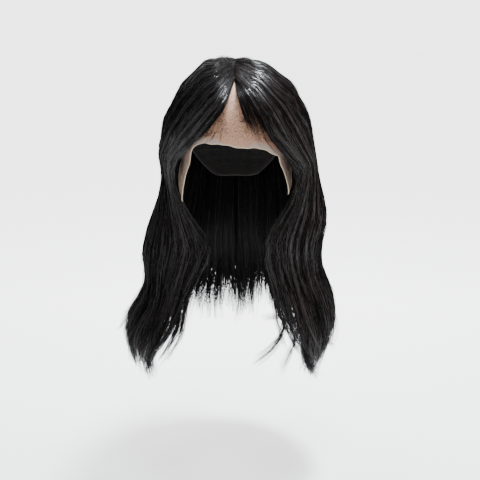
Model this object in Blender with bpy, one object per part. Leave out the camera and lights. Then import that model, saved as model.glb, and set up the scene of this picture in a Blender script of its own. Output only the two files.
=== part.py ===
"""Lace front wig with a centre part, curtain fringe and chest-length hair.

Frame: origin at the inside of the crown of the cap, +Z up, -Y towards the face
opening, +X to the right of someone who looks at the front. Units are metres.
"""

import math

import bmesh
import bpy
from mathutils import Vector

# Head form that the cap and lace are shaped on
HEAD_BREADTH = 0.152
HEAD_FRONT = 0.094
HEAD_BACK = 0.096
WIDEST_DROP = 0.085
NAPE_TAPER = 0.9

# Cap and lace
CAP_WALL = 0.0015
LACE_WALL = 0.0012
SEAM_GAP = 0.0004
LACE_CENTRE_DROP = 0.096
LACE_TILT = 0.0085
TAB_DROP_LEFT = 0.070
TAB_DROP_RIGHT = 0.061
TAB_LIFT = 0.011
CAP_SIDE_DROP = 0.104
CAP_NAPE_DROP = 0.158

# Hair
SEAT_GAP = 0.0010
LOCK_GAP = 0.0010
LAYER_GAP = 0.0022
PART_HALF_WIDTH = 0.0008
PART_FRONT_TURN = 44.0
PART_BACK_TURN = 14.0
PART_RISE = 0.0130
CROWN_RISE_LEFT = 0.0195
CROWN_RISE_RIGHT = 0.0150
LEFT_FLATNESS = 0.0085
SIDE_FULLNESS = 0.030
FRONT_FULLNESS = 0.009
BACK_FULLNESS = 0.024
HAIR_DROP = 0.436
HAIR_FLARE = 0.050
FACE_GAP = 0.070
FRONT_FALL = 0.080
BACK_FALL = 0.120
CURTAIN_THICKNESS = 0.019
FRINGE_BELLY_LEFT = 0.34
FRINGE_BELLY_RIGHT = 0.08
FRINGE_LIFT = 0.0070
REST_OPENING = 38.0
WAVE_DEPTH = 0.0022
STRAND_RIDGE = 0.0011

QUARTER = math.radians(90.0)
SIDE_SLOPE = 1.49

# Cap seam: azimuth from the front in degrees, turn from the crown as a share of a quarter circle
SEAM = [
    (0, 0.10), (20, 0.11), (38, 0.135), (52, 0.18), (64, 0.27),
    (74, 0.42), (82, 0.62), (88, 0.84), (93, 1.10), (97, 1.145),
]

# Lace front edge: azimuth, drop below the centre edge as a share of the tab drop, lift as a share of TAB_LIFT
LACE_EDGE = [
    (0, 0.0, 0.0), (18, -0.01, 0.0), (32, 0.02, 0.0), (42, 0.11, 0.0), (48, 0.19, 0.10),
    (52, 0.48, 0.60), (57, 0.86, 1.0), (62, 1.00, 0.75), (67, 0.78, 0.90), (73, 0.42, 0.55),
    (80, 0.26, 0.15), (88, 0.22, 0.0), (97, 0.21, 0.0),
]

# Cap back edge: azimuth, share of the way from the side drop to the nape drop
CAP_EDGE = [
    (97, 0.0), (108, 0.06), (120, 0.26), (132, 0.62), (145, 0.92), (160, 1.0), (180, 1.0),
]

# Hair levels: drop as a share of HAIR_DROP, left and right flare as shares of HAIR_FLARE,
# front and back fall as shares of FRONT_FALL and BACK_FALL, left and right edge of the
# opening as shares of FACE_GAP, thickness as a share of CURTAIN_THICKNESS
LEVELS = [
    # drop, left, right, front, back, left edge, right edge, thickness
    (0.258, 0.60, 0.67, 1.08, 0.99, 1.06, 0.94, 0.92),
    (0.303, 0.55, 0.79, 1.00, 0.98, 1.18, 1.17, 0.95),
    (0.349, 0.54, 0.83, 0.86, 0.96, 1.16, 1.16, 1.00),
    (0.406, 0.66, 0.95, 0.80, 0.92, 1.03, 1.03, 1.00),
    (0.470, 0.83, 1.04, 0.76, 0.89, 0.74, 0.72, 1.00),
    (0.530, 1.01, 0.99, 0.74, 0.88, 0.48, 0.49, 1.00),
    (0.590, 1.16, 0.92, 0.74, 0.90, 0.53, 0.53, 0.98),
    (0.645, 1.15, 1.01, 0.78, 0.95, 0.74, 0.61, 0.95),
    (0.700, 1.05, 1.20, 0.88, 1.00, 0.93, 0.74, 0.92),
    (0.755, 1.29, 1.33, 1.02, 1.03, 0.96, 0.82, 0.88),
    (0.815, 1.62, 1.34, 1.14, 1.02, 1.04, 0.98, 0.84),
    (0.880, 1.70, 1.28, 1.20, 0.99, 1.34, 1.20, 0.78),
    (0.940, 1.52, 1.02, 1.24, 0.96, 1.58, 1.36, 0.70),
    (1.000, 1.40, 0.86, 1.26, 0.92, 1.68, 1.46, 0.60),
]

# Locks of the hair tied along the part: name, start and end round the curtain as shares,
# strips, tip drops as shares of HAIR_DROP on the left and on the right
UPPER_LOCKS = [
    ("fringe", 0.000, 0.130, (0.84, 0.92), (0.83, 0.94)),
    ("front_layer", 0.130, 0.300, (0.91, 0.96, 0.90), (0.93, 0.98, 0.91)),
    ("side_layer", 0.300, 0.520, (0.86, 0.89, 0.87), (0.92, 0.87, 0.88)),
    ("back_side_layer", 0.520, 0.760, (0.86, 0.82, 0.87), (0.85, 0.88, 0.83)),
    ("back_layer", 0.760, 1.000, (0.84, 0.89, 0.86), (0.86, 0.83, 0.89)),
]

# Locks of the wefts sewn round the cap, below and inside the others: same columns
WEFT_LOCKS = [
    ("front_weft", 0.100, 0.270, (0.90, 0.98, 0.92), (0.94, 1.00, 0.91)),
    ("side_weft", 0.270, 0.520, (0.87, 0.80), (0.83, 0.88)),
    ("back_side_weft", 0.520, 0.760, (0.82, 0.88), (0.88, 0.81)),
    ("back_weft", 0.760, 1.000, (0.88, 0.85), (0.84, 0.89)),
]

CAP_COLUMNS = 36
CAP_ROWS = 9
LACE_COLUMNS = 40
SEAM_STEP = 0.02
TAB_START_TURN = 1.28
TAB_EASE = 0.05
LACE_ROWS = 8
DOME_SPANS = 6
UPPER_START = 0.05
UPPER_ROWS = 20
UPPER_STRIP_COLUMNS = 2
WEFT_START = 4.35
WEFT_ROWS = 13
WEFT_STRIP_COLUMNS = 2
LAYER_SPLIT = 0.50
LAYER_RISE_START = 3.4
LAYER_RISE_END = 5.4
STRIP_DROP = 0.57
STRIP_ROWS_SHARE = 0.36
TIP_SHARE = 0.10


def clear_scene():
    for item in list(bpy.data.objects):
        bpy.data.objects.remove(item, do_unlink=True)


def smooth(low, high, value):
    t = min(max((value - low) / (high - low), 0.0), 1.0)
    return t * t * (3.0 - 2.0 * t)


def catmull(before, start, end, after, t):
    """Point of a smooth curve between start and end; works on numbers and vectors."""
    return 0.5 * (
        2.0 * start
        + (end - before) * t
        + (2.0 * before - 5.0 * start + 4.0 * end - after) * t * t
        + (3.0 * start - before - 3.0 * end + after) * t * t * t
    )


def along(points, s):
    """Point of the smooth curve through the points, s counted in spans."""
    last = len(points) - 1
    i = min(max(int(s), 0), last - 1)
    before = points[max(i - 1, 0)]
    after = points[min(i + 2, last)]
    return catmull(before, points[i], points[i + 1], after, s - i)


def table_value(rows, key, column):
    """Smoothly blended column of a table at a key of its first column."""
    last = len(rows) - 1
    i = 0
    while i < last - 1 and rows[i + 1][0] < key:
        i += 1
    span = rows[i + 1][0] - rows[i][0]
    t = min(max((key - rows[i][0]) / span, 0.0), 1.0)
    values = [row[column] for row in rows]
    return catmull(values[max(i - 1, 0)], values[i], values[i + 1], values[min(i + 2, last)], t)


def material(name, colour, roughness):
    made = bpy.data.materials.new(name)
    made.use_nodes = True
    shader = made.node_tree.nodes["Principled BSDF"]
    shader.inputs["Base Color"].default_value = (*colour, 1.0)
    shader.inputs["Roughness"].default_value = roughness
    shader.inputs["Metallic"].default_value = 0.0
    return made


def add_body(name, points, faces, surface):
    mesh = bpy.data.meshes.new(name)
    mesh.from_pydata([tuple(p) for p in points], [], faces)
    shape = bmesh.new()
    shape.from_mesh(mesh)
    bmesh.ops.recalc_face_normals(shape, faces=shape.faces)
    shape.to_mesh(mesh)
    shape.free()
    mesh.materials.append(surface)
    mesh.shade_smooth()
    mesh.set_sharp_from_angle(angle=math.radians(50.0))
    body = bpy.data.objects.new(name, mesh)
    bpy.context.scene.collection.objects.link(body)
    return body


# Head form

def head_profile(turn):
    """Radius share and drop share of the head form at a turn from the crown."""
    if turn < 1.0:
        angle = turn * QUARTER
        return math.sin(angle), 1.0 - math.cos(angle)
    below = turn - 1.0
    return 1.0 - NAPE_TAPER * below * below, 1.0 + SIDE_SLOPE * below


def turn_at_drop(drop):
    """Turn at a drop at or below the widest level."""
    return 1.0 + (drop / WIDEST_DROP - 1.0) / SIDE_SLOPE


def head_point(azimuth, turn, outset):
    """Point over the head form; azimuth in radians from the front, positive to +X."""
    radius, drop = head_profile(turn)
    if turn > 1.0:
        nape = 0.5 - 0.5 * math.cos(azimuth)
        radius = 1.0 - (1.0 - radius) * nape ** 1.5
    depth = HEAD_FRONT if math.cos(azimuth) > 0.0 else HEAD_BACK
    return Vector((
        (HEAD_BREADTH / 2.0 + outset) * radius * math.sin(azimuth),
        -(depth + outset) * radius * math.cos(azimuth),
        outset - (WIDEST_DROP + outset) * drop,
    ))


# Closed walls

def wall_faces(rows, columns, inner, outer, pole):
    """Faces of a closed wall between two grids of vertex numbers; row 0 may be one pole."""
    faces = []
    for i in range(rows):
        for j in range(columns):
            quad = [outer[i][j], outer[i][j + 1], outer[i + 1][j + 1], outer[i + 1][j]]
            back = [inner[i][j], inner[i + 1][j], inner[i + 1][j + 1], inner[i][j + 1]]
            if pole and i == 0:
                quad = quad[1:]
                back = back[:3]
            faces.append(quad)
            faces.append(back)
    for j in range(columns):
        faces.append([outer[rows][j], outer[rows][j + 1], inner[rows][j + 1], inner[rows][j]])
        if not pole:
            faces.append([inner[0][j], inner[0][j + 1], outer[0][j + 1], outer[0][j]])
    return faces


def side_faces(rows, inner, outer, column, first):
    faces = []
    for i in range(rows):
        face = [inner[i][column], inner[i + 1][column], outer[i + 1][column], outer[i][column]]
        faces.append(face[::-1] if first else face)
    return faces


def seam_turn(azimuth):
    return table_value(SEAM, abs(math.degrees(azimuth)), 1)


def make_cap():
    """Stretch cap behind the seam, from ear to ear and down to the nape."""
    points = []
    grids = []
    last_seam = SEAM[-1][0]
    for outset in (0.0, CAP_WALL):
        grid = [[len(points)] * (CAP_COLUMNS + 1)]
        points.append(head_point(0.0, 0.0, outset))
        for i in range(1, CAP_ROWS + 1):
            row = []
            for j in range(CAP_COLUMNS):
                azimuth = math.tau * j / CAP_COLUMNS
                around = 180.0 - abs(180.0 - math.degrees(azimuth))
                if around < last_seam:
                    reach = seam_turn(math.radians(around))
                else:
                    share = table_value(CAP_EDGE, around, 1)
                    drop = CAP_SIDE_DROP + share * (CAP_NAPE_DROP - CAP_SIDE_DROP)
                    reach = turn_at_drop(drop)
                row.append(len(points))
                points.append(head_point(azimuth, reach * i / CAP_ROWS, outset))
            grid.append(row + [row[0]])
        grids.append(grid)
    faces = wall_faces(CAP_ROWS, CAP_COLUMNS, grids[0], grids[1], pole=True)
    add_body("cap", points, faces, material("cap_net", (0.020, 0.018, 0.017), 0.85))


def lace_drop(azimuth):
    """How far the lace's edge lies below the crown, a little lower on the right."""
    around = abs(math.degrees(azimuth))
    tab = TAB_DROP_RIGHT if azimuth > 0.0 else TAB_DROP_LEFT
    tilt = LACE_TILT * math.sin(azimuth) * (1.0 - smooth(42.0, 58.0, around))
    return LACE_CENTRE_DROP + tilt + tab * table_value(LACE_EDGE, around, 1)


def make_lace():
    """Lace front from the seam to the uncut edge, with a curling tab at each temple."""
    reach = math.radians(SEAM[-1][0])
    clear = SEAM_GAP / (WIDEST_DROP * QUARTER)
    points = []
    grids = []
    for outset in (0.0, LACE_WALL):
        grid = []
        for i in range(LACE_ROWS + 1):
            row = []
            for j in range(LACE_COLUMNS + 1):
                azimuth = reach * (2.0 * j / LACE_COLUMNS - 1.0)
                around = abs(math.degrees(azimuth))
                slope = (seam_turn(azimuth + SEAM_STEP) - seam_turn(azimuth - SEAM_STEP)) / (2.0 * SEAM_STEP)
                start = seam_turn(azimuth) + clear * math.hypot(1.0, slope * QUARTER)
                lift = TAB_LIFT * table_value(LACE_EDGE, around, 2)
                end = turn_at_drop(lace_drop(azimuth))
                share = i / LACE_ROWS
                turn = start + (end - start) * share
                raised = outset + lift * smooth(TAB_START_TURN, max(end, TAB_START_TURN) + TAB_EASE, turn)
                row.append(len(points))
                points.append(head_point(azimuth, turn, raised))
            grid.append(row)
        grids.append(grid)
    inner, outer = grids
    faces = wall_faces(LACE_ROWS, LACE_COLUMNS, inner, outer, pole=False)
    faces += side_faces(LACE_ROWS, inner, outer, 0, first=True)
    faces += side_faces(LACE_ROWS, inner, outer, LACE_COLUMNS, first=False)
    add_body("lace_front", points, faces, material("lace", (0.62, 0.42, 0.28), 0.8))


# Hair

def layer_floor(s):
    """Share of the hair's depth that lies under the upper layer at s spans from the part."""
    return LAYER_SPLIT * smooth(LAYER_RISE_START, LAYER_RISE_END, s)


def level_values(side):
    """Rows of real lengths for one side, -1 left or 1 right."""
    found = []
    for drop, left, right, front, back, left_edge, right_edge, thick in LEVELS:
        found.append((
            drop * HAIR_DROP,
            HEAD_BREADTH / 2.0 + HAIR_FLARE * (left if side < 0 else right),
            front * FRONT_FALL,
            back * BACK_FALL,
            FACE_GAP * (left_edge if side < 0 else right_edge),
            thick * CURTAIN_THICKNESS,
        ))
    return found


def azimuth_round(a, edge, half):
    """Azimuth of a strand where the opening's edge stands at a width; the back barely follows it."""
    opening = math.asin(min(edge / half, 0.98))
    rest = math.radians(REST_OPENING)
    return rest + (math.pi - rest) * a + (opening - rest) * (1.0 - a) ** 3


def edge_thinning(a):
    return 0.40 + 0.60 * smooth(0.0, 0.14, a)


def guide(side, a, depth):
    """Curve of one strand, whose first point is one span above its root.

    a runs from the face opening to the back, and depth from 0 inside to 1 outside.
    """
    rows = level_values(side)
    front_turn = math.radians(PART_FRONT_TURN)
    back_turn = math.radians(PART_BACK_TURN)
    root_turn = -front_turn + (front_turn + back_turn) * smooth(-0.25, 1.05, a)
    root = Vector((0.0, math.sin(root_turn), math.cos(root_turn)))
    around = azimuth_round(a, rows[0][4], rows[0][1])
    target = Vector((math.sin(around), -math.cos(around), -0.22)).normalized()
    sweep = root.angle(target)
    belly = FRINGE_BELLY_LEFT if side < 0 else FRINGE_BELLY_RIGHT
    belly *= 1.0 - smooth(0.0, 0.45, a)
    crown = CROWN_RISE_LEFT if side < 0 else CROWN_RISE_RIGHT
    points = []
    for k in range(-1, DOME_SPANS):
        share = k / DOME_SPANS
        aim = root * math.sin((1.0 - share) * sweep) + target * math.sin(share * sweep)
        aim = aim / math.sin(sweep)
        bulge = math.copysign(math.sin(math.pi * math.sqrt(abs(share))), share)
        aim += Vector((0.0, -0.77, -0.64)) * belly * bulge
        aim.normalize()
        azimuth = math.atan2(aim.x, -aim.y)
        turn = math.acos(min(max(aim.z, -1.0), 1.0)) / QUARTER
        end_rise = SIDE_FULLNESS * aim.x * aim.x
        end_rise += (FRONT_FULLNESS if aim.y < 0.0 else BACK_FULLNESS) * (1.0 - aim.x * aim.x)
        rise = PART_RISE + (crown - PART_RISE) * smooth(0.0, 0.20, share)
        rise += (end_rise - crown) * smooth(0.15, 1.0, share)
        if side < 0:
            rise -= LEFT_FLATNESS * math.sin(math.pi * max(share, 0.0)) * aim.x
        base = max(CAP_WALL, LACE_WALL) + SEAT_GAP + FRINGE_LIFT * belly * max(bulge, 0.0)
        outset = base + (rise * (0.55 + 0.45 * edge_thinning(a)) - base) * depth
        spot = head_point(azimuth, turn, outset)
        spot.x += PART_HALF_WIDTH * (1.0 - share)
        points.append(spot)
    for drop, half, front, back, edge, thick in rows:
        around = azimuth_round(a, edge, half)
        inset = thick * edge_thinning(a) * (1.0 - depth)
        fall = front if around < QUARTER else back
        points.append(Vector((
            (half - inset) * math.sin(around),
            -(fall - inset) * math.cos(around),
            -drop,
        )))
    if side < 0:
        for spot in points:
            spot.x = -spot.x
    return points


def wave(side, a, s):
    """Slow wave of the hair, as an offset outwards and to the side."""
    phase = 5.0 * a + 1.15 * s + (0.9 if side > 0 else 0.0)
    grown = WAVE_DEPTH * smooth(5.5, 9.0, s)
    outwards = Vector((side * math.sin(a * math.pi), -math.cos(a * math.pi), 0.0))
    return outwards * grown * math.sin(phase)


def hair_point(side, a, s, depth):
    return along(guide(side, a, depth), s + 1.0) + wave(side, a, s)


def span_at_drop(share):
    """Spans from the part at which the hair has fallen to a share of HAIR_DROP."""
    for k in range(len(LEVELS) - 1):
        if share <= LEVELS[k + 1][0]:
            return DOME_SPANS + k + (share - LEVELS[k][0]) / (LEVELS[k + 1][0] - LEVELS[k][0])
    return DOME_SPANS + len(LEVELS) - 1.0


def make_lock(name, side, ends, tips, weft, surface):
    """One lock: a sheet of hair that splits into strips, each drawn out to its own tip."""
    start = WEFT_START if weft else UPPER_START
    rows = WEFT_ROWS if weft else UPPER_ROWS
    per_strip = WEFT_STRIP_COLUMNS if weft else UPPER_STRIP_COLUMNS
    strips = len(tips)
    columns = per_strip * strips
    split = rows - round(rows * STRIP_ROWS_SHARE)
    split_span = span_at_drop(STRIP_DROP)
    points = []
    faces = []

    def place(strip, i, j, top):
        tip_span = span_at_drop(tips[strip])
        if i <= split:
            s = start + (split_span - start) * i / split
        else:
            s = split_span + (tip_span - split_span) * (i - split) / (rows - split)
        a = ends[0] + (ends[1] - ends[0]) * j / columns
        narrow = 1.0
        if i > split:
            drawn = (i - split) / (rows - split)
            narrow = 1.0 - (1.0 - TIP_SHARE) * drawn ** 1.6
        middle = ends[0] + (ends[1] - ends[0]) * (strip + 0.5) / strips
        a = middle + (a - middle) * narrow
        floor = layer_floor(s)
        girth = (hair_point(side, ends[1], s, 0.5) - hair_point(side, ends[0], s, 0.5)).length
        clear = 0.5 * LOCK_GAP * (ends[1] - ends[0]) / max(girth, LOCK_GAP)
        a = min(max(a, ends[0] + clear), ends[1] - clear)
        total = (hair_point(side, a, s, 1.0) - hair_point(side, a, s, 0.0)).length
        slack = 0.5 * LAYER_GAP / total
        low = 0.0 if weft else floor + slack * smooth(0.0, 0.1, floor)
        high = floor - slack if weft else 1.0
        core = 0.5 * (low + high)
        if top:
            ridge = STRAND_RIDGE / total * (0.5 + 0.5 * math.cos(math.pi * j)) * smooth(1.5, 4.5, s)
            depth = core + (high - ridge - core) * narrow
        else:
            depth = core + (low - core) * narrow
        return hair_point(side, a, s, depth)

    shared = {}

    def vertex(strip, i, j, top):
        key = (i, j, top) if i <= split else (i, j, top, strip)
        if key not in shared:
            shared[key] = len(points)
            points.append(place(strip, i, j, top))
        return shared[key]

    for strip in range(strips):
        first = strip * per_strip
        last = first + per_strip
        for i in range(rows):
            for j in range(first, last):
                faces.append([vertex(strip, i, j, True), vertex(strip, i, j + 1, True),
                              vertex(strip, i + 1, j + 1, True), vertex(strip, i + 1, j, True)])
                faces.append([vertex(strip, i, j, False), vertex(strip, i + 1, j, False),
                              vertex(strip, i + 1, j + 1, False), vertex(strip, i, j + 1, False)])
            if i >= split or first == 0:
                faces.append([vertex(strip, i, first, True), vertex(strip, i + 1, first, True),
                              vertex(strip, i + 1, first, False), vertex(strip, i, first, False)])
            if i >= split or last == columns:
                faces.append([vertex(strip, i, last, False), vertex(strip, i + 1, last, False),
                              vertex(strip, i + 1, last, True), vertex(strip, i, last, True)])
        for j in range(first, last):
            faces.append([vertex(strip, rows, j, True), vertex(strip, rows, j + 1, True),
                          vertex(strip, rows, j + 1, False), vertex(strip, rows, j, False)])
            faces.append([vertex(strip, 0, j, False), vertex(strip, 0, j + 1, False),
                          vertex(strip, 0, j + 1, True), vertex(strip, 0, j, True)])
    add_body(name, points, faces, surface)


def make_hair():
    tied = material("tied_hair", (0.014, 0.011, 0.010), 0.42)
    sewn = material("weft_hair", (0.010, 0.008, 0.008), 0.5)
    for side, word in ((-1, "left"), (1, "right")):
        for name, start, end, left_tips, right_tips in UPPER_LOCKS:
            tips = left_tips if side < 0 else right_tips
            make_lock(f"{name}_{word}", side, (start, end), tips, False, tied)
        for name, start, end, left_tips, right_tips in WEFT_LOCKS:
            tips = left_tips if side < 0 else right_tips
            make_lock(f"{name}_{word}", side, (start, end), tips, True, sewn)


clear_scene()
make_cap()
make_lace()
make_hair()
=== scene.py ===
import math

import bpy
import numpy as np
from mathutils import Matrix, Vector


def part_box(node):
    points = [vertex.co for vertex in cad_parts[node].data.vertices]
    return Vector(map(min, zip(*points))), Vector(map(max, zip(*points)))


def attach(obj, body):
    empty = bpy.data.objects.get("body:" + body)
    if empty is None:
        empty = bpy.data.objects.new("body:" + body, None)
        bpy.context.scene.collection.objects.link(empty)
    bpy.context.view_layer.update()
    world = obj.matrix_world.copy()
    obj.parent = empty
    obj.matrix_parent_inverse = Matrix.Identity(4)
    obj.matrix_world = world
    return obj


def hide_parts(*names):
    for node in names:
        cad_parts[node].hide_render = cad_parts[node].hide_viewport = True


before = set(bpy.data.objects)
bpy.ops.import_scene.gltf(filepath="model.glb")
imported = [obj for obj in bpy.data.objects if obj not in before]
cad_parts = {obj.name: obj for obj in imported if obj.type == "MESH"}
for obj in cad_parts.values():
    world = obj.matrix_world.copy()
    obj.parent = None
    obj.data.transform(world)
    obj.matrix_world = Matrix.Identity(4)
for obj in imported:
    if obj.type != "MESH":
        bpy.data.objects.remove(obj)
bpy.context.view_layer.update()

# Sizes read from the frame, in metres
CAP_LOW, CAP_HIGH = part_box("cap")
LACE_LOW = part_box("lace_front")[0]
CAP_WALL = CAP_HIGH.z
LACE_WALL = 0.0012
HALF_BREADTH = CAP_HIGH.x - CAP_WALL
HEAD_FRONT = -LACE_LOW.y - LACE_WALL
HEAD_BACK = 0.096
CAP_EDGE_DIP = 0.002
CAP_NAPE_DROP = -CAP_LOW.z - CAP_EDGE_DIP

# Head form, cap and lace, as the solids have them
WIDEST_DROP = 0.085
NAPE_TAPER = 0.9
SIDE_SLOPE = 1.49
QUARTER = math.radians(90.0)
CAP_SIDE_DROP = 0.104
WEFT_PITCH = 0.011
LACE_CENTRE_DROP = 0.096
LACE_TILT = 0.0085
TAB_DROP_LEFT = 0.070
TAB_DROP_RIGHT = 0.061
TAB_LIFT = 0.011
TAB_START_TURN = 1.28
SEAM_GAP = 0.0004

# Hair, as the solids have it
SEAT_GAP = 0.0010
PART_HALF_WIDTH = 0.0008
PART_FRONT_TURN = 44.0
PART_BACK_TURN = 14.0
PART_RISE = 0.0130
CROWN_RISE_LEFT = 0.0195
CROWN_RISE_RIGHT = 0.0150
LEFT_FLATNESS = 0.0085
SIDE_FULLNESS = 0.030
FRONT_FULLNESS = 0.009
BACK_FULLNESS = 0.024
HAIR_DROP = 0.436
HAIR_FLARE = 0.050
FACE_GAP = 0.070
FRONT_FALL = 0.080
BACK_FALL = 0.120
CURTAIN_THICKNESS = 0.019
FRINGE_BELLY_LEFT = 0.34
FRINGE_BELLY_RIGHT = 0.08
FRINGE_LIFT = 0.0070
REST_OPENING = 38.0
WAVE_DEPTH = 0.0022
DOME_SPANS = 6
WEFT_START = 4.35
LAYER_SPLIT = 0.50
LAYER_RISE_START = 3.4
LAYER_RISE_END = 5.4

# Cap seam: azimuth in degrees from the front, turn from the crown in quarter circles
SEAM = np.array([
    (0, 0.10), (20, 0.11), (38, 0.135), (52, 0.18), (64, 0.27),
    (74, 0.42), (82, 0.62), (88, 0.84), (93, 1.10), (97, 1.145),
])

# Lace edge: azimuth, drop below the centre as a share of the tab drop, lift as a share of TAB_LIFT
LACE_EDGE = np.array([
    (0, 0.0, 0.0), (18, -0.01, 0.0), (32, 0.02, 0.0), (42, 0.11, 0.0), (48, 0.19, 0.10),
    (52, 0.48, 0.60), (57, 0.86, 1.0), (62, 1.00, 0.75), (67, 0.78, 0.90), (73, 0.42, 0.55),
    (80, 0.26, 0.15), (88, 0.22, 0.0), (97, 0.21, 0.0),
])

# Cap edge behind the seam: azimuth, share of the way from the side drop to the nape drop
CAP_EDGE = np.array([
    (97, 0.0), (108, 0.06), (120, 0.26), (132, 0.62), (145, 0.92), (160, 1.0), (180, 1.0),
])

# Hair levels: drop as a share of HAIR_DROP, left and right flare, front and back fall,
# left and right edge of the opening, thickness, each as a share of its named size
LEVELS = np.array([
    (0.258, 0.60, 0.67, 1.08, 0.99, 1.06, 0.94, 0.92),
    (0.303, 0.55, 0.79, 1.00, 0.98, 1.18, 1.17, 0.95),
    (0.349, 0.54, 0.83, 0.86, 0.96, 1.16, 1.16, 1.00),
    (0.406, 0.66, 0.95, 0.80, 0.92, 1.03, 1.03, 1.00),
    (0.470, 0.83, 1.04, 0.76, 0.89, 0.74, 0.72, 1.00),
    (0.530, 1.01, 0.99, 0.74, 0.88, 0.48, 0.49, 1.00),
    (0.590, 1.16, 0.92, 0.74, 0.90, 0.53, 0.53, 0.98),
    (0.645, 1.15, 1.01, 0.78, 0.95, 0.74, 0.61, 0.95),
    (0.700, 1.05, 1.20, 0.88, 1.00, 0.93, 0.74, 0.92),
    (0.755, 1.29, 1.33, 1.02, 1.03, 0.96, 0.82, 0.88),
    (0.815, 1.62, 1.34, 1.14, 1.02, 1.04, 0.98, 0.84),
    (0.880, 1.70, 1.28, 1.20, 0.99, 1.34, 1.20, 0.78),
    (0.940, 1.52, 1.02, 1.24, 0.96, 1.58, 1.36, 0.70),
    (1.000, 1.40, 0.86, 1.26, 0.92, 1.68, 1.46, 0.60),
])

# Locks: name, start and end round the curtain, tip drops left and right as shares of HAIR_DROP
UPPER_LOCKS = [
    ("fringe", 0.000, 0.130, (0.88, 0.93), (0.85, 0.94)),
    ("front_layer", 0.130, 0.300, (0.91, 0.96, 0.90), (0.93, 0.98, 0.91)),
    ("side_layer", 0.300, 0.520, (0.86, 0.89, 0.87), (0.92, 0.87, 0.88)),
    ("back_side_layer", 0.520, 0.760, (0.86, 0.82, 0.87), (0.85, 0.88, 0.83)),
    ("back_layer", 0.760, 1.000, (0.84, 0.89, 0.86), (0.86, 0.83, 0.89)),
]
WEFT_LOCKS = [
    ("front_weft", 0.100, 0.270, (0.90, 0.98, 0.92), (0.94, 1.00, 0.91)),
    ("side_weft", 0.270, 0.520, (0.87, 0.80), (0.83, 0.88)),
    ("back_side_weft", 0.520, 0.760, (0.82, 0.88), (0.88, 0.81)),
    ("back_weft", 0.760, 1.000, (0.88, 0.85), (0.84, 0.89)),
]

# Loose wisps: strands, spread in mm, stations in mm from root to tip
WISPS = [
    (22, 1.4, [(77, -50, -298), (67, -64, -323), (54, -78, -332), (37, -81, -330)]),
    (44, 2.0, [(77, -48, -291), (70, -62, -331), (62, -76, -362), (47, -83, -382), (26, -76, -404)]),
    (34, 2.0, [(94, -51, -316), (87, -65, -351), (76, -79, -382), (63, -69, -420)]),
    (20, 1.6, [(118, -44, -344), (129, -38, -373), (139, -28, -391), (146, -30, -393)]),
    (110, 3.6, [(98, -58, -343), (97, -69, -383), (104, -60, -414), (118, -50, -432)]),
    (24, 2.2, [(-125, -13, -306), (-141, -20, -328), (-152, -25, -340), (-159, -27, -345)]),
    (24, 2.2, [(-125, -29, -324), (-139, -35, -346), (-152, -29, -362), (-157, -29, -373)]),
    (100, 3.6, [(-99, -60, -343), (-113, -67, -374), (-124, -62, -407), (-118, -66, -425)]),
]

# Strands, tresses of strands and solid hearts in each kind of lock
STRANDS = {
    "fringe": 700, "front_layer": 1000, "side_layer": 1050, "back_side_layer": 830,
    "back_layer": 740, "front_weft": 300, "side_weft": 300, "back_side_weft": 330,
    "back_weft": 330,
}
TRESSES = {
    "fringe": 44, "front_layer": 64, "side_layer": 68, "back_side_layer": 58,
    "back_layer": 52, "front_weft": 30, "side_weft": 30, "back_side_weft": 30,
    "back_weft": 30,
}
HEARTS = {
    "fringe": 6, "front_layer": 10, "side_layer": 10, "back_side_layer": 10,
    "back_layer": 10, "front_weft": 7, "side_weft": 7, "back_side_weft": 7, "back_weft": 7,
}
# Shares of glossy strands, real gloss and painted highlight: more in the fringe and front, where the top
# lights fall, fewer at the sides and back.
GLOSS_AND_HIGHLIGHT_SHARES = {
    "fringe": 0.42, "front_layer": 0.34, "side_layer": 0.24, "back_side_layer": 0.16,
    "back_layer": 0.16, "front_weft": 0.20, "side_weft": 0.20, "back_side_weft": 0.16,
    "back_weft": 0.16,
}
STRAND_POINTS = 12
STRAND_SIDES = 3
STRAND_RADIUS = 0.00025
STRAY_SHARE = 0.08
STRAY_GIRTH = 0.55
STRAY_SHADE = 0.93
EARLY_SHARE = 0.75
GATHER = 0.55
CROSSING = 0.0100
CURL_OUT = 0.0050
CURL_OUT_MOST = 0.009
CURL_ALONG = 0.0060
CURL_ALONG_MOST = 0.012
WANDER = 0.0014
STRAY_WANDER = 0.0038
WANDER_MOST = 2.2
ROOTED_DEPTH = 0.62
DULL_AND_SHADED_EDGE = 0.014
ROOTS_EARLY = (-0.14, 0.12)
ROOTS_LATE = (0.1, 0.7)
ROOTS_WEFT = 0.3
LAND_MEAN = 1.015
LAND_SPREAD = 0.022
LENGTH_LOSS = 0.13
TRESS_SPREAD = 2.2
LOCK_OVERLAP = 0.015
DEPTH_LOW = 0.44
DEPTH_RISE = 0.60
DEPTH_JITTER = 0.05
DEPTH_MOST = 1.10
VEIL_RADIUS = 0.00022
BABY_HAIR_RADIUS = 0.00019
WISP_RADIUS = 0.00026
HEART_POINTS = 22
HEART_SIDES = 8
HEART_START = 0.75
HEART_WIDTH = 0.95
HEART_POINT = 0.03
HEART_TIP_FRONT = 0.93
HEART_TIP_BACK = 0.91
HEART_TIP_SPREAD = 0.05
HEART_EDGE_GAP = 0.004
FRONT_END = 0.4
LOCK_SEED = 11
VEIL_SEED = 301
BABY_HAIR_SEED = 302
WISP_SEED = 303

# Veils over the lace: side, its word, hairs, reach past the edge, bunches
VEILS = [(-1, "left", 36, 0.030, 6), (1, "right", 140, 0.170, 12)]

# Baby hairs: side, its word, first and last azimuth in degrees
BABY_HAIRS = [(-1, "left", 6.0, 27.0), (1, "right", 4.0, 30.0)]
BABY_HAIR_COUNT = 46
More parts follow.
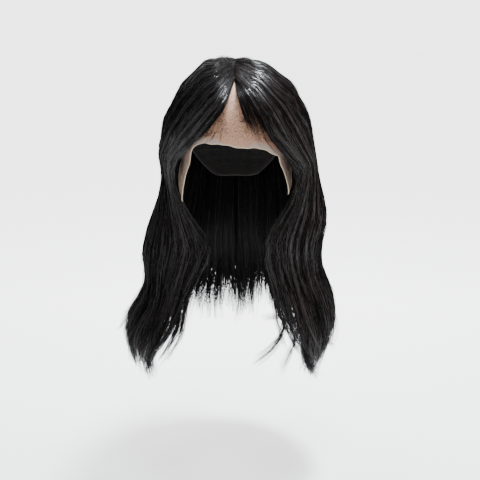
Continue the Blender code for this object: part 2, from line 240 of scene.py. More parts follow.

# Hair finishes, lit and shaded copies of one hair: light tone, warm tone, roughness, sheen. The light tone
# is painted: lighter in the glossy copies as a painted highlight, darker in the dull ones as painted shade
HAIR_FINISHES_AND_PAINTED_LIGHT = {
    "tied_hair_dull_painted_shade": ((0.0045, 0.0037, 0.0037), (0.012, 0.0055, 0.0040), 0.42, 0.06),
    "tied_hair_glossy_painted_highlight": ((0.016, 0.014, 0.015), (0.030, 0.014, 0.009), 0.30, 0.62),
    "weft_hair_dull_painted_shade": ((0.0050, 0.0042, 0.0042), (0.010, 0.0055, 0.0042), 0.60, 0.10),
    "weft_hair_glossy_painted_highlight": ((0.012, 0.010, 0.010), (0.018, 0.010, 0.007), 0.34, 0.35),
}
WARM_PICK = 57.31
ROUGH_PICK = 113.7
WARMTH_LEFT = 0.5
WARMTH_RIGHT = 0.9
WARMTH_LOOSE = 0.4

# Colours of the hair, lace, hem, net and stage
HAIR_DARK = (0.0010, 0.0009, 0.0010)
LACE_TAN = (0.335, 0.178, 0.110)
LACE_SHEER = (0.30, 0.235, 0.195)
KNOT_BROWN = (0.030, 0.016, 0.011)
HEM_DEEP = (0.42, 0.31, 0.20)
HEM_PALE = (0.60, 0.48, 0.35)
THREAD_DARK = (0.010, 0.009, 0.009)
THREAD_PALE = (0.070, 0.062, 0.058)
BAND_BLACK = (0.022, 0.019, 0.018)
STAGE_GREY = (0.60, 0.60, 0.60)

# Sizes of the woven patterns, in cells a metre, and of the walls of the two cloths
LACE_CELLS = 900.0
KNOT_CELLS = 430.0
PATCH_CELLS = 140.0
HEM_CELLS = 500.0
NET_CELLS = 420.0
THREAD_CELLS = 160.0
LACE_SEAT = 0.0003
LACE_THICKNESS = 0.0004
HEM_RADIUS = 0.00050
STITCH_HEIGHT = 0.0004
LACE_COLUMNS, LACE_ROWS = 221, 81
CAP_COLUMNS, CAP_ROWS = 144, 90

# Stage, lights and camera
STAGE_DROP = 0.60
STAGE_REACH = 2.6
STAGE_BEND = 0.9
STAGE_HEIGHT = 4.6
STAGE_SEGMENTS = 64
GLOW_NEAR = (-0.5, 0.12)
GLOW_FAR = (0.7, 2.20)
WORLD_TONE = (0.97, 0.98, 1.0)
WORLD_STRENGTH = 0.12
COOL, WARM = (0.90, 0.95, 1.0), (1.0, 0.97, 0.92)
CROWN, LENGTHS = (0.0, -0.02, 0.0), (0.0, 0.0, -0.2)
LIGHTS = [
    ("top_light", (0.08, -0.40, 1.30), CROWN, (0.50, 0.40), 24.0, COOL),
    ("over_light", (0.30, 0.08, 1.25), CROWN, (0.26, 0.22), 90.0, COOL),
    ("left_light", (-0.46, 0.10, 1.20), CROWN, (0.40, 0.40), 15.0, COOL),
    ("right_light", (0.46, 0.06, 1.20), CROWN, (0.40, 0.40), 18.0, COOL),
    ("front_light", (-0.9, -2.0, 0.7), LENGTHS, (0.9, 0.9), 3.0, WARM),
    ("side_light", (1.7, -0.9, 0.4), LENGTHS, (0.6, 1.0), 1.2, WARM),
]
CAMERA_PLACE = (0.0065, -0.915, 0.0042)
CAMERA_PITCH = 15.0
CAMERA_LENS = 49.4
SENSOR_WIDTH = 36.0


def smooth(low, high, value):
    t = np.clip((value - low) / (high - low), 0.0, 1.0)
    return t * t * (3.0 - 2.0 * t)


def blended(values, position):
    """Smooth curve through rows of values, at fractional row numbers."""
    last = len(values) - 1
    i = np.clip(np.floor(position).astype(int), 0, last - 1)
    t = (position - i)[..., None]
    before = values[np.maximum(i - 1, 0)]
    after = values[np.minimum(i + 2, last)]
    return catmull(before, values[i], values[i + 1], after, t)


def catmull(before, start, end, after, t):
    return 0.5 * (
        2.0 * start
        + (end - before) * t
        + (2.0 * before - 5.0 * start + 4.0 * end - after) * t * t
        + (3.0 * start - before - 3.0 * end + after) * t * t * t
    )


def table(rows, key, column):
    """Smoothly blended column of a table at keys of its first column."""
    position = np.interp(key, rows[:, 0], np.arange(len(rows)))
    return blended(rows[:, column:column + 1], np.asarray(position, float))[..., 0]


# Head form

def head_points(azimuth, turn, outset):
    """Points set out from the head form, at azimuths and at turns from the crown."""
    angle = np.minimum(turn, 1.0) * QUARTER
    below = np.maximum(turn - 1.0, 0.0)
    nape = (0.5 - 0.5 * np.cos(azimuth)) ** 1.5
    radius = np.sin(angle) - NAPE_TAPER * below * below * nape
    drop = 1.0 - np.cos(angle) + SIDE_SLOPE * below
    depth = np.where(np.cos(azimuth) > 0.0, HEAD_FRONT, HEAD_BACK)
    return np.stack([
        (HALF_BREADTH + outset) * radius * np.sin(azimuth),
        -(depth + outset) * radius * np.cos(azimuth),
        outset - (WIDEST_DROP + outset) * drop,
    ], axis=-1)


def turn_at_drop(drop):
    """Turn, in quarter circles and beyond, at a drop below the crown."""
    return 1.0 + (drop / WIDEST_DROP - 1.0) / SIDE_SLOPE


# Hair form

def edge_thinning(a):
    """Share of the full thickness near the edge of the fringe."""
    return 0.40 + 0.60 * smooth(0.0, 0.14, a)


def azimuth_round(a, edge, half):
    """Azimuth at a share a round the curtain, from the opening's edge to the back."""
    opening = np.arcsin(np.minimum(edge / half, 0.98))
    rest = math.radians(REST_OPENING)
    return rest + (math.pi - rest) * a + (opening - rest) * (1.0 - a) ** 3


def level_sizes(side):
    """Drops, half widths, front and back falls, opening edges and thicknesses of the levels."""
    flare = LEVELS[:, 1] if side < 0 else LEVELS[:, 2]
    edge = LEVELS[:, 5] if side < 0 else LEVELS[:, 6]
    return (LEVELS[:, 0] * HAIR_DROP, HALF_BREADTH + HAIR_FLARE * flare,
            LEVELS[:, 3] * FRONT_FALL, LEVELS[:, 4] * BACK_FALL,
            FACE_GAP * edge, LEVELS[:, 7] * CURTAIN_THICKNESS)


def guides(side, a, depth):
    """Control points of hair at shares a round the curtain and depth through it, arrays of one shape."""
    drops, halves, fronts, backs, edges, thicks = level_sizes(side)
    front_turn = math.radians(PART_FRONT_TURN)
    back_turn = math.radians(PART_BACK_TURN)
    root_turn = -front_turn + (front_turn + back_turn) * smooth(-0.25, 1.05, a)
    root = np.stack([np.zeros_like(a), np.sin(root_turn), np.cos(root_turn)], axis=-1)
    around = azimuth_round(a, edges[0], halves[0])
    target = np.stack([np.sin(around), -np.cos(around), np.full_like(a, -0.22)], axis=-1)
    target /= np.linalg.norm(target, axis=-1, keepdims=True)
    sweep = np.arccos(np.clip((root * target).sum(-1), -1.0, 1.0))[..., None]
    belly = (FRINGE_BELLY_LEFT if side < 0 else FRINGE_BELLY_RIGHT) * (1.0 - smooth(0.0, 0.45, a))
    crown = CROWN_RISE_LEFT if side < 0 else CROWN_RISE_RIGHT
    points = []
    for k in range(-1, DOME_SPANS):
        share = k / DOME_SPANS
        aim = (root * np.sin((1.0 - share) * sweep) + target * np.sin(share * sweep)) / np.sin(sweep)
        bulge = math.copysign(math.sin(math.pi * math.sqrt(abs(share))), share)
        aim = aim + np.array([0.0, -0.77, -0.64]) * (belly * bulge)[..., None]
        aim /= np.linalg.norm(aim, axis=-1, keepdims=True)
        across = aim[..., 0]
        azimuth = np.arctan2(across, -aim[..., 1])
        turn = np.arccos(np.clip(aim[..., 2], -1.0, 1.0)) / QUARTER
        end_rise = SIDE_FULLNESS * across ** 2
        end_rise += np.where(aim[..., 1] < 0.0, FRONT_FULLNESS, BACK_FULLNESS) * (1.0 - across ** 2)
        rise = PART_RISE + (crown - PART_RISE) * smooth(0.0, 0.20, share)
        rise = rise + (end_rise - crown) * smooth(0.15, 1.0, share)
        if side < 0:
            rise = rise - LEFT_FLATNESS * math.sin(math.pi * max(share, 0.0)) * across
        base = max(CAP_WALL, LACE_WALL) + SEAT_GAP + FRINGE_LIFT * belly * max(bulge, 0.0)
        outset = base + (rise * (0.55 + 0.45 * edge_thinning(a)) - base) * depth
        spot = head_points(azimuth, turn, outset)
        spot[..., 0] += PART_HALF_WIDTH * (1.0 - share)
        points.append(spot)
    for k in range(len(drops)):
        around = azimuth_round(a, edges[k], halves[k])
        inset = thicks[k] * edge_thinning(a) * (1.0 - depth)
        fall = np.where(around < QUARTER, fronts[k], backs[k])
        points.append(np.stack([
            (halves[k] - inset) * np.sin(around),
            -(fall - inset) * np.cos(around),
            np.full_like(a, -drops[k]),
        ], axis=-1))
    found = np.stack(points, axis=0)
    if side < 0:
        found[..., 0] *= -1.0
    return found


def hair_points(side, a, s, depth):
    """Points of the hair at arrays of shares round, spans along and shares of depth."""
    a, s, depth = np.broadcast_arrays(a, s, depth)
    control = guides(side, a.ravel(), depth.ravel())
    position = s.ravel() + 1.0
    last = len(control) - 1
    i = np.clip(np.floor(position).astype(int), 0, last - 1)
    t = (position - i)[:, None]
    n = np.arange(len(position))
    spots = catmull(control[np.maximum(i - 1, 0), n], control[i, n], control[i + 1, n],
                    control[np.minimum(i + 2, last), n], t)
    phase = 5.0 * a.ravel() + 1.15 * s.ravel() + (0.9 if side > 0 else 0.0)
    grown = WAVE_DEPTH * smooth(5.5, 9.0, s.ravel()) * np.sin(phase)
    spots[:, 0] += side * np.sin(a.ravel() * math.pi) * grown
    spots[:, 1] -= np.cos(a.ravel() * math.pi) * grown
    return spots.reshape(a.shape + (3,))


def span_at_drop(share):
    """Span along the hair at a drop, given as a share of HAIR_DROP."""
    return DOME_SPANS + np.interp(share, LEVELS[:, 0], np.arange(len(LEVELS)))


def layer_floor(s):
    """Depth where the upper layer starts and the wefts below it end."""
    return LAYER_SPLIT * smooth(LAYER_RISE_START, LAYER_RISE_END, s)


# Meshes

def tube_faces(count, points, sides):
    """Faces of closed tubes, count of them, each of points rings with sides corners."""
    quads = []
    for i in range(points - 1):
        for j in range(sides):
            k = (j + 1) % sides
            quads.append((i * sides + j, i * sides + k, (i + 1) * sides + k, (i + 1) * sides + j))
    quads = np.array(quads)
    starts = (np.arange(count) * points * sides)[:, None]
    sidewall = (quads.reshape(1, -1) + starts).reshape(-1, 4)
    first = np.arange(sides)[::-1][None, :] + starts
    final = (points - 1) * sides + np.arange(sides)[None, :] + starts
    return sidewall, np.concatenate([first, final])


def tube_rings(lines, radii, sides):
    """Rings of corners round lines of shape (count, points, 3), radii of shape (count, points)."""
    ahead = np.gradient(lines, axis=1)
    ahead /= np.maximum(np.linalg.norm(ahead, axis=-1, keepdims=True), 1e-9)
    across = np.cross(ahead, np.array([0.31, 0.83, 0.46]))
    across /= np.maximum(np.linalg.norm(across, axis=-1, keepdims=True), 1e-9)
    other = np.cross(ahead, across)
    turn = np.arange(sides) * math.tau / sides
    ring = across[:, :, None] * np.cos(turn)[:, None] + other[:, :, None] * np.sin(turn)[:, None]
    return lines[:, :, None] + ring * radii[:, :, None, None]


def mesh_object(name, vertices, faces, materials, tint=None, slots=None):
    """A smooth mesh from a list of face arrays.

    tint holds values per vertex for the material, and slots a material number per face.
    """
    mesh = bpy.data.meshes.new(name)
    sizes = np.concatenate([np.full(len(f), f.shape[1]) for f in faces])
    corners = np.concatenate([f.ravel() for f in faces])
    mesh.vertices.add(len(vertices))
    mesh.vertices.foreach_set("co", vertices.astype(np.float32).ravel())
    mesh.loops.add(len(corners))
    mesh.loops.foreach_set("vertex_index", corners.astype(np.int32))
    mesh.polygons.add(len(sizes))
    mesh.polygons.foreach_set("loop_start", (np.cumsum(sizes) - sizes).astype(np.int32))
    mesh.polygons.foreach_set("loop_total", sizes.astype(np.int32))
    mesh.update(calc_edges=True)
    mesh.validate()
    if tint is not None:
        layer = mesh.color_attributes.new("tint", "FLOAT_COLOR", "POINT")
        layer.data.foreach_set("color", tint.astype(np.float32).ravel())
    mesh.shade_smooth()
    for material in materials:
        mesh.materials.append(material)
    if slots is not None:
        mesh.polygons.foreach_set("material_index", slots.astype(np.int32))
    piece = bpy.data.objects.new(name, mesh)
    bpy.context.scene.collection.objects.link(piece)
    return piece


# Materials

def new_material(name):
    made = bpy.data.materials.new(name)
    made.use_nodes = True
    nodes = made.node_tree.nodes
    return made, nodes, made.node_tree.links, nodes["Principled BSDF"]


def hair_material(name):
    """Off-black hair whose shade and warmth differ from strand to strand and clump to clump."""
    light, warm, roughness, sheen = HAIR_FINISHES_AND_PAINTED_LIGHT[name]
    made, nodes, links, shader = new_material(name)
    tint = nodes.new("ShaderNodeAttribute")
    tint.attribute_name = "tint"
    parts = nodes.new("ShaderNodeSeparateColor")
    links.new(tint.outputs["Color"], parts.inputs["Color"])
    shade = nodes.new("ShaderNodeMix")
    shade.data_type = "RGBA"
    shade.inputs["A"].default_value = (*HAIR_DARK, 1.0)
    # Lightest tone: a painted highlight in the glossy copies, painted shade in the dull ones.
    shade.inputs["B"].default_value = (*light, 1.0)
    links.new(parts.outputs["Red"], shade.inputs["Factor"])
    brown = nodes.new("ShaderNodeMix")
    brown.data_type = "RGBA"
    brown.inputs["B"].default_value = (*warm, 1.0)
    links.new(shade.outputs["Result"], brown.inputs["A"])
    links.new(parts.outputs["Green"], brown.inputs["Factor"])
    links.new(brown.outputs["Result"], shader.inputs["Base Color"])
    rough = nodes.new("ShaderNodeMapRange")
    rough.inputs["To Min"].default_value = roughness - 0.05
    rough.inputs["To Max"].default_value = roughness + 0.08
    links.new(parts.outputs["Blue"], rough.inputs["Value"])
    links.new(rough.outputs["Result"], shader.inputs["Roughness"])
    shader.inputs["Specular IOR Level"].default_value = sheen
    return made


def lace_material():
    """Tan lace: a fine net with small dark knots that thin out towards the pale edge."""
    made, nodes, links, shader = new_material("tan_lace")
    place = nodes.new("ShaderNodeAttribute")
    place.attribute_name = "tint"
    parts = nodes.new("ShaderNodeSeparateColor")
    links.new(place.outputs["Color"], parts.inputs["Color"])
    where = nodes.new("ShaderNodeTexCoord")
    net = nodes.new("ShaderNodeTexVoronoi")
    net.feature = "DISTANCE_TO_EDGE"
    net.inputs["Scale"].default_value = LACE_CELLS
    links.new(where.outputs["Object"], net.inputs["Vector"])
    knots = nodes.new("ShaderNodeTexVoronoi")
    knots.inputs["Scale"].default_value = KNOT_CELLS
    links.new(where.outputs["Object"], knots.inputs["Vector"])
    patches = nodes.new("ShaderNodeTexNoise")
    patches.inputs["Scale"].default_value = PATCH_CELLS
    patches.inputs["Detail"].default_value = 5.0
    links.new(where.outputs["Object"], patches.inputs["Vector"])
    dot = nodes.new("ShaderNodeMapRange")
    dot.inputs["From Min"].default_value = 0.66
    dot.inputs["From Max"].default_value = 0.22
    links.new(knots.outputs["Distance"], dot.inputs["Value"])
    density = nodes.new("ShaderNodeMath")
    density.operation = "MULTIPLY"
    links.new(dot.outputs["Result"], density.inputs[0])
    links.new(parts.outputs["Red"], density.inputs[1])
    spread = nodes.new("ShaderNodeMath")
    spread.operation = "MULTIPLY"
    links.new(density.outputs["Value"], spread.inputs[0])
    links.new(patches.outputs["Fac"], spread.inputs[1])
    base = nodes.new("ShaderNodeMix")
    base.data_type = "RGBA"
    base.inputs["A"].default_value = (*LACE_TAN, 1.0)
    base.inputs["B"].default_value = (*LACE_SHEER, 1.0)
    links.new(parts.outputs["Green"], base.inputs["Factor"])
    dotted = nodes.new("ShaderNodeMix")
    dotted.data_type = "RGBA"
    dotted.inputs["B"].default_value = (*KNOT_BROWN, 1.0)
    links.new(spread.outputs["Value"], dotted.inputs["Factor"])
    links.new(base.outputs["Result"], dotted.inputs["A"])
    links.new(dotted.outputs["Result"], shader.inputs["Base Color"])
    hole = nodes.new("ShaderNodeMapRange")
    hole.inputs["From Min"].default_value = 0.10
    hole.inputs["From Max"].default_value = 0.30
    hole.inputs["To Min"].default_value = 1.0
    hole.inputs["To Max"].default_value = 0.72
    links.new(net.outputs["Distance"], hole.inputs["Value"])
    links.new(hole.outputs["Result"], shader.inputs["Alpha"])
    bump = nodes.new("ShaderNodeBump")
    bump.inputs["Strength"].default_value = 0.25
    bump.inputs["Distance"].default_value = 0.0002
    bump.invert = True
    links.new(net.outputs["Distance"], bump.inputs["Height"])
    links.new(bump.outputs["Normal"], shader.inputs["Normal"])
    shader.inputs["Roughness"].default_value = 0.62
    return made


def hem_material():
    """Pale thread along the uncut edge of the lace."""
    made, nodes, links, shader = new_material("pale_hem")
    where = nodes.new("ShaderNodeTexCoord")
    noise = nodes.new("ShaderNodeTexNoise")
    noise.inputs["Scale"].default_value = HEM_CELLS
    links.new(where.outputs["Object"], noise.inputs["Vector"])
    shade = nodes.new("ShaderNodeMix")
    shade.data_type = "RGBA"
    shade.inputs["A"].default_value = (*HEM_DEEP, 1.0)
    shade.inputs["B"].default_value = (*HEM_PALE, 1.0)
    links.new(noise.outputs["Fac"], shade.inputs["Factor"])
    links.new(shade.outputs["Result"], shader.inputs["Base Color"])
    shader.inputs["Roughness"].default_value = 0.7
    return made


def net_material():
    """Matt black stretch net with a fine open weave."""
    made, nodes, links, shader = new_material("black_stretch_net")
    where = nodes.new("ShaderNodeTexCoord")
    net = nodes.new("ShaderNodeTexVoronoi")
    net.feature = "DISTANCE_TO_EDGE"
    net.inputs["Scale"].default_value = NET_CELLS
    links.new(where.outputs["Object"], net.inputs["Vector"])
    shade = nodes.new("ShaderNodeMapRange")
    shade.inputs["From Max"].default_value = 0.25
    shade.inputs["To Min"].default_value = 0.030
    shade.inputs["To Max"].default_value = 0.006
    links.new(net.outputs["Distance"], shade.inputs["Value"])
    colour = nodes.new("ShaderNodeCombineColor")
    for channel in ("Red", "Green", "Blue"):
        links.new(shade.outputs["Result"], colour.inputs[channel])
    tint = nodes.new("ShaderNodeAttribute")
    tint.attribute_name = "tint"
    parts = nodes.new("ShaderNodeSeparateColor")
    links.new(tint.outputs["Color"], parts.inputs["Color"])
    threads = nodes.new("ShaderNodeTexWave")
    threads.inputs["Scale"].default_value = THREAD_CELLS
    threads.inputs["Distortion"].default_value = 1.5
    links.new(where.outputs["Object"], threads.inputs["Vector"])
    thread = nodes.new("ShaderNodeMix")
    thread.data_type = "RGBA"
    thread.inputs["A"].default_value = (*THREAD_DARK, 1.0)
    thread.inputs["B"].default_value = (*THREAD_PALE, 1.0)
    links.new(threads.outputs["Fac"], thread.inputs["Factor"])
    sewn = nodes.new("ShaderNodeMix")
    sewn.data_type = "RGBA"
    links.new(parts.outputs["Red"], sewn.inputs["Factor"])
    links.new(colour.outputs["Color"], sewn.inputs["A"])
    links.new(thread.outputs["Result"], sewn.inputs["B"])
    bound = nodes.new("ShaderNodeMix")
    bound.data_type = "RGBA"
    bound.inputs["B"].default_value = (*BAND_BLACK, 1.0)
    links.new(parts.outputs["Green"], bound.inputs["Factor"])
    links.new(sewn.outputs["Result"], bound.inputs["A"])
    links.new(bound.outputs["Result"], shader.inputs["Base Color"])
    bump = nodes.new("ShaderNodeBump")
    bump.inputs["Strength"].default_value = 0.6
    bump.inputs["Distance"].default_value = 0.0004
    bump.invert = True
    links.new(net.outputs["Distance"], bump.inputs["Height"])
    links.new(bump.outputs["Normal"], shader.inputs["Normal"])
    shader.inputs["Roughness"].default_value = 0.85
    return made


# Locks of hair

def tip_drops(tips, places):
    """Drop of the hair's ends at places from 0 to 1 across a lock."""
    return np.interp(places, (np.arange(len(tips)) + 0.5) / len(tips), tips)


def heart_tubes(rng, side, ends, tips, count, weft):
    """Flattened solid hearts, which keep the lock opaque under its strands."""
    places = (np.arange(count) + 0.5) / count
    centres = ends[0] + (ends[1] - ends[0]) * places
    width = (ends[1] - ends[0]) / count * HEART_WIDTH
    shortest = HEART_TIP_FRONT if ends[1] < FRONT_END and not weft else HEART_TIP_BACK
    drops = tip_drops(tips, places) * (shortest + HEART_TIP_SPREAD * rng.random(count))
    tip = span_at_drop(drops)[:, None]
    start = WEFT_START + 0.1 if weft else HEART_START
    share = np.linspace(0.0, 1.0, HEART_POINTS)[None, :]
    s = start + (tip - start) * share
    body = (1.0 - smooth(0.60, 1.0, share)) ** 0.6 * (1.0 - HEART_POINT) + HEART_POINT
    body = body * (0.3 + 0.7 * smooth(0.0, 0.10, share))
    floor = layer_floor(s)
    if weft:
        low, high = 0.22 * floor, 0.74 * floor
    else:
        low, high = floor + 0.08, floor + 0.62 * (1.0 - floor)
    middle = 0.5 * (low + high)
    thick = 0.5 * (high - low) * body
    turn = np.arange(HEART_SIDES) * math.tau / HEART_SIDES
    a = centres[:, None, None] + width * body[:, :, None] * np.cos(turn)
    a = np.clip(a, ends[0] + HEART_EDGE_GAP, ends[1] - (HEART_EDGE_GAP if ends[1] < 1.0 else 0.0))
    depth = middle[:, :, None] - side * thick[:, :, None] * np.sin(turn)
    spots = hair_points(side, a, s[:, :, None] + 0.0 * a, depth)
    faces = tube_faces(count, HEART_POINTS, HEART_SIDES)
    return spots.reshape(-1, 3), faces


def strand_tubes(rng, side, ends, tips, kind, weft):
    """Single strands, gathered into tresses that overlap and end in feathered tips."""
    count, tresses, gloss_and_highlight_share = STRANDS[kind], TRESSES[kind], GLOSS_AND_HIGHLIGHT_SHARES[kind]
    places = (np.arange(tresses) + rng.uniform(0.1, 0.9, tresses)) / tresses
    centre = ends[0] + (ends[1] - ends[0]) * places
    lands = tip_drops(tips, places) * (LAND_MEAN + rng.normal(0.0, LAND_SPREAD, tresses))
    lift = rng.random(tresses) ** 0.7
    gloss = rng.random(tresses)
    # Glossy tresses carry a painted highlight; those at the fringe's edge stay dull, as painted shade.
    bright = (rng.random(tresses) < gloss_and_highlight_share) & (centre > DULL_AND_SHADED_EDGE)
    sway = rng.uniform(0.0, math.tau, tresses)
    beat = rng.uniform(0.35, 1.1, tresses)
    outwards = np.clip(rng.normal(0.0, CURL_OUT, tresses), -CURL_OUT_MOST, CURL_OUT_MOST)
    sideways = np.clip(rng.normal(0.0, CURL_ALONG, tresses), -CURL_ALONG_MOST, CURL_ALONG_MOST)

    own = rng.integers(0, tresses, count)
    stray = rng.random(count) < STRAY_SHARE
    early = rng.random(count) < EARLY_SHARE
    start = np.where(early, rng.uniform(*ROOTS_EARLY, count), rng.uniform(*ROOTS_LATE, count))
    if weft:
        start = WEFT_START + rng.uniform(0.0, ROOTS_WEFT, count)
    length = 1.0 - LENGTH_LOSS * rng.random(count) ** 2.6
    tip = span_at_drop(np.minimum(lands[own] * length, 1.0))
    share = np.linspace(0.0, 1.0, STRAND_POINTS)[None, :]
    s = start[:, None] + (tip - start)[:, None] * share
    loose = rng.normal(0.0, 1.0, (count, 1)) * (ends[1] - ends[0]) / tresses * TRESS_SPREAD
    gather = 1.0 - GATHER * smooth(4.0, 9.0, s) * np.where(stray, 0.0, 1.0)[:, None]
    a = centre[own][:, None] + loose * gather
    cross = CROSSING * np.sin(sway[own][:, None] + beat[own][:, None] * s) * smooth(1.0, 6.0, s)
    a = a + cross * (0.3 + 0.7 * smooth(0.0, 0.05, a))
    a = np.clip(a, max(ends[0] - LOCK_OVERLAP, 0.0), ends[1] + LOCK_OVERLAP)
    floor = layer_floor(s)
    jitter = rng.normal(0.0, DEPTH_JITTER, (count, 1))
    if weft:
        level = rng.random((count, 1))
        depth = floor * (0.04 + 0.92 * level)
    else:
        level = DEPTH_LOW + DEPTH_RISE * lift[own][:, None] + jitter
        depth = floor + (1.0 - floor) * np.clip(level, 0.05, DEPTH_MOST)
        rooted = ROOTED_DEPTH * smooth(0.02, 0.30, a)
        depth = depth * (rooted + (1.0 - rooted) * smooth(-0.35, 0.50, s))
    spots = hair_points(side, a, s, depth)

    away = np.stack([side * np.sin(a * math.pi), -np.cos(a * math.pi), 0.0 * a], axis=-1)
    along_edge = np.stack([side * np.cos(a * math.pi), np.sin(a * math.pi), 0.0 * a], axis=-1)
    ending = smooth(0.80, 1.0, share)[:, :, None] ** 1.5
    curl = away * outwards[own][:, None, None] + along_edge * sideways[own][:, None, None]
    spots = spots + curl * ending
    ripple = rng.uniform(0.0, math.tau, (count, 1))
    rate = rng.uniform(2.0, 4.5, (count, 1))
    wander = np.clip(rng.normal(0.0, 1.0, (count, 1, 3)), -WANDER_MOST, WANDER_MOST)
    wander = wander * np.where(stray, STRAY_WANDER, WANDER)[:, None, None]
    bend = smooth(0.20, 1.0, share) * np.sin(rate * share + ripple)
    spots = spots + wander * bend[:, :, None]

    girth = STRAND_RADIUS * rng.uniform(0.75, 1.2, (count, 1))
    girth = girth * np.where(stray, STRAY_GIRTH, 1.0)[:, None]
    radii = girth * (1.0 - 0.65 * smooth(0.88, 1.0, share)) * (0.6 + 0.4 * smooth(0.0, 0.08, share))
    rings = tube_rings(spots, radii, STRAND_SIDES)
    shade = np.clip(0.30 * gloss[own] + 0.70 * rng.random(count), 0.0, 1.0) ** 2.0
    shade = np.repeat(np.where(stray, STRAY_SHADE, shade), STRAND_POINTS * STRAND_SIDES)
    # Each strand takes the glossy copy, real gloss with a painted highlight, or the dull copy, painted
    # shade.
    glossy = np.where(rng.random(count) < 0.5, bright[own], rng.random(count) < gloss_and_highlight_share)
    slots = np.concatenate([np.repeat(glossy, (STRAND_POINTS - 1) * STRAND_SIDES), np.tile(glossy, 2)])
    return rings.reshape(-1, 3), tube_faces(count, STRAND_POINTS, STRAND_SIDES), shade, slots


def hair_tint(shade, warmth):
    """Shade, warmth and roughness of each vertex, from the shade of its strand."""
    warm = smooth(0.60, 1.0, np.modf(shade * WARM_PICK)[0]) * warmth
    rough = np.modf(shade * ROUGH_PICK)[0]
    return np.stack([shade, warm, rough, np.ones_like(shade)], axis=-1)


def make_lock(seed, name, side, ends, tips, weft, materials):
    """One lock: its hearts and strands, in place of the solid of the same name."""
    rng = np.random.default_rng(seed)
    kind = name.rsplit("_", 1)[0]
    heart, heart_faces = heart_tubes(rng, side, ends, tips, HEARTS[kind], weft)
    fine, fine_faces, shade, slots = strand_tubes(rng, side, ends, tips, kind, weft)
    shift = len(heart)
    faces = [heart_faces[0], heart_faces[1], fine_faces[0] + shift, fine_faces[1] + shift]
    # Painted shade: the hearts under the strands take the darkest hair tone.
    shade = np.concatenate([np.zeros(len(heart)), shade])
    slots = np.concatenate([np.zeros(len(heart_faces[0]) + len(heart_faces[1])), slots])
    warmth = WARMTH_RIGHT if side > 0 else WARMTH_LEFT
    piece = mesh_object(f"{name}_hair", np.concatenate([heart, fine]), faces, materials,
                        hair_tint(shade, warmth), slots)
    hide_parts(name)
    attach(piece, "root")
    return piece


def curve_tubes(lines, radius, taper):
    """Closed tubes along lines of shape (count, points, 3), thinning towards their ends."""
    share = np.linspace(0.0, 1.0, lines.shape[1])[None, :]
    radii = radius * (1.0 - taper * smooth(0.4, 1.0, share)) * np.ones((len(lines), 1))
    rings = tube_rings(lines, radii, STRAND_SIDES)
    return rings.reshape(-1, 3), list(tube_faces(len(lines), lines.shape[1], STRAND_SIDES))


def loose_piece(name, lines, radius, taper, material, shades):
    """A piece of loose hairs, each with its own shade."""
    vertices, faces = curve_tubes(lines, radius, taper)
    shade = np.repeat(shades, lines.shape[1] * STRAND_SIDES)
    piece = mesh_object(name, vertices, faces, [material], hair_tint(shade, WARMTH_LOOSE))
    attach(piece, "root")
    return piece


def make_veil(material):
    """Thin hairs that fall across the lace in front of the fringe."""
    rng = np.random.default_rng(VEIL_SEED)
    for side, word, count, reach, bunches in VEILS:
        bunch = rng.integers(0, bunches, (count, 1))
        placed = -reach * ((np.arange(bunches) + 0.5) / bunches) ** 1.25
        length = rng.uniform(3.8, 6.5, bunches)
        bow = rng.normal(0.0, 0.012, bunches)
        a = placed[bunch] + 0.0045 * rng.normal(0.0, 1.0, (count, 1))
        tip = length[bunch] * rng.uniform(0.8, 1.0, (count, 1))
        start = rng.uniform(-0.05, 0.25, (count, 1))
        s = start + (tip - start) * np.linspace(0.0, 1.0, 16)
        depth = rng.uniform(0.35, 0.95, (count, 1)) * smooth(-0.2, 1.2, s)
        a = a * (1.0 - 0.15 * smooth(1.0, 4.0, s)) + bow[bunch] * smooth(1.5, 6.0, s)
        lines = hair_points(side, a, s, depth)
        wander = rng.normal(0.0, 0.0010, (count, 1, 3)) * smooth(1.0, 5.0, s)[:, :, None]
        lines = lines + wander
        loose_piece(f"fringe_veil_{word}", lines, VEIL_RADIUS, 0.6, material, rng.random(count) * 0.5)


def make_baby_hairs(material):
    """Short fine hairs that curl on the lace below the hairline."""
    rng = np.random.default_rng(BABY_HAIR_SEED)
    count = BABY_HAIR_COUNT
    for side, word, first, last in BABY_HAIRS:
        place = rng.random((count, 1))
        azimuth = np.radians(first + (last - first) * place)
        turn = 0.74 + 0.17 * rng.random((count, 1)) + 0.10 * place
        t = np.linspace(0.0, 1.0, 12)
        reach = rng.uniform(0.05, 0.17, (count, 1))
        swing = rng.uniform(0.8, 2.6, (count, 1))
        heading = rng.normal(0.35, 0.5, (count, 1)) + swing * t
        step = reach / 11.0
        azimuths = azimuth + np.cumsum(np.sin(heading) * step * 1.3, axis=1)
        turns = turn + np.cumsum(np.cos(heading) * step * 0.75, axis=1)
        lift = 0.0014 + rng.uniform(0.0, 0.0030, (count, 1)) * np.sin(t * math.pi * 0.8)
        lines = head_points(side * azimuths, turns, lift)
        loose_piece(f"baby_hairs_{word}", lines, BABY_HAIR_RADIUS, 0.6, material, rng.random(count) * 0.4)


def make_wisps(material):
    """Loose wisps and flipped ends that stand clear of the locks."""
    rng = np.random.default_rng(WISP_SEED)
    for k, (count, spread, stations) in enumerate(WISPS):
        stations = np.array(stations) / 1000.0
        position = np.linspace(0.0, len(stations) - 1.0, 14)
        line = blended(stations, position)
        share = np.linspace(0.0, 1.0, 14)[None, :, None]
        offset = rng.normal(0.0, spread / 1000.0, (count, 1, 3)) * (1.0 - 0.6 * share)
        drift = np.clip(rng.normal(0.0, 0.0035, (count, 1, 3)), -0.007, 0.007) * share ** 2
        lengths = rng.uniform(0.82, 1.0, (count, 1, 1))
        lines = line[0] + (line[None] - line[0]) * lengths + offset + drift
        loose_piece(f"wisp_{k + 1}", lines, WISP_RADIUS, 0.6, material, rng.random(count) * 0.6)


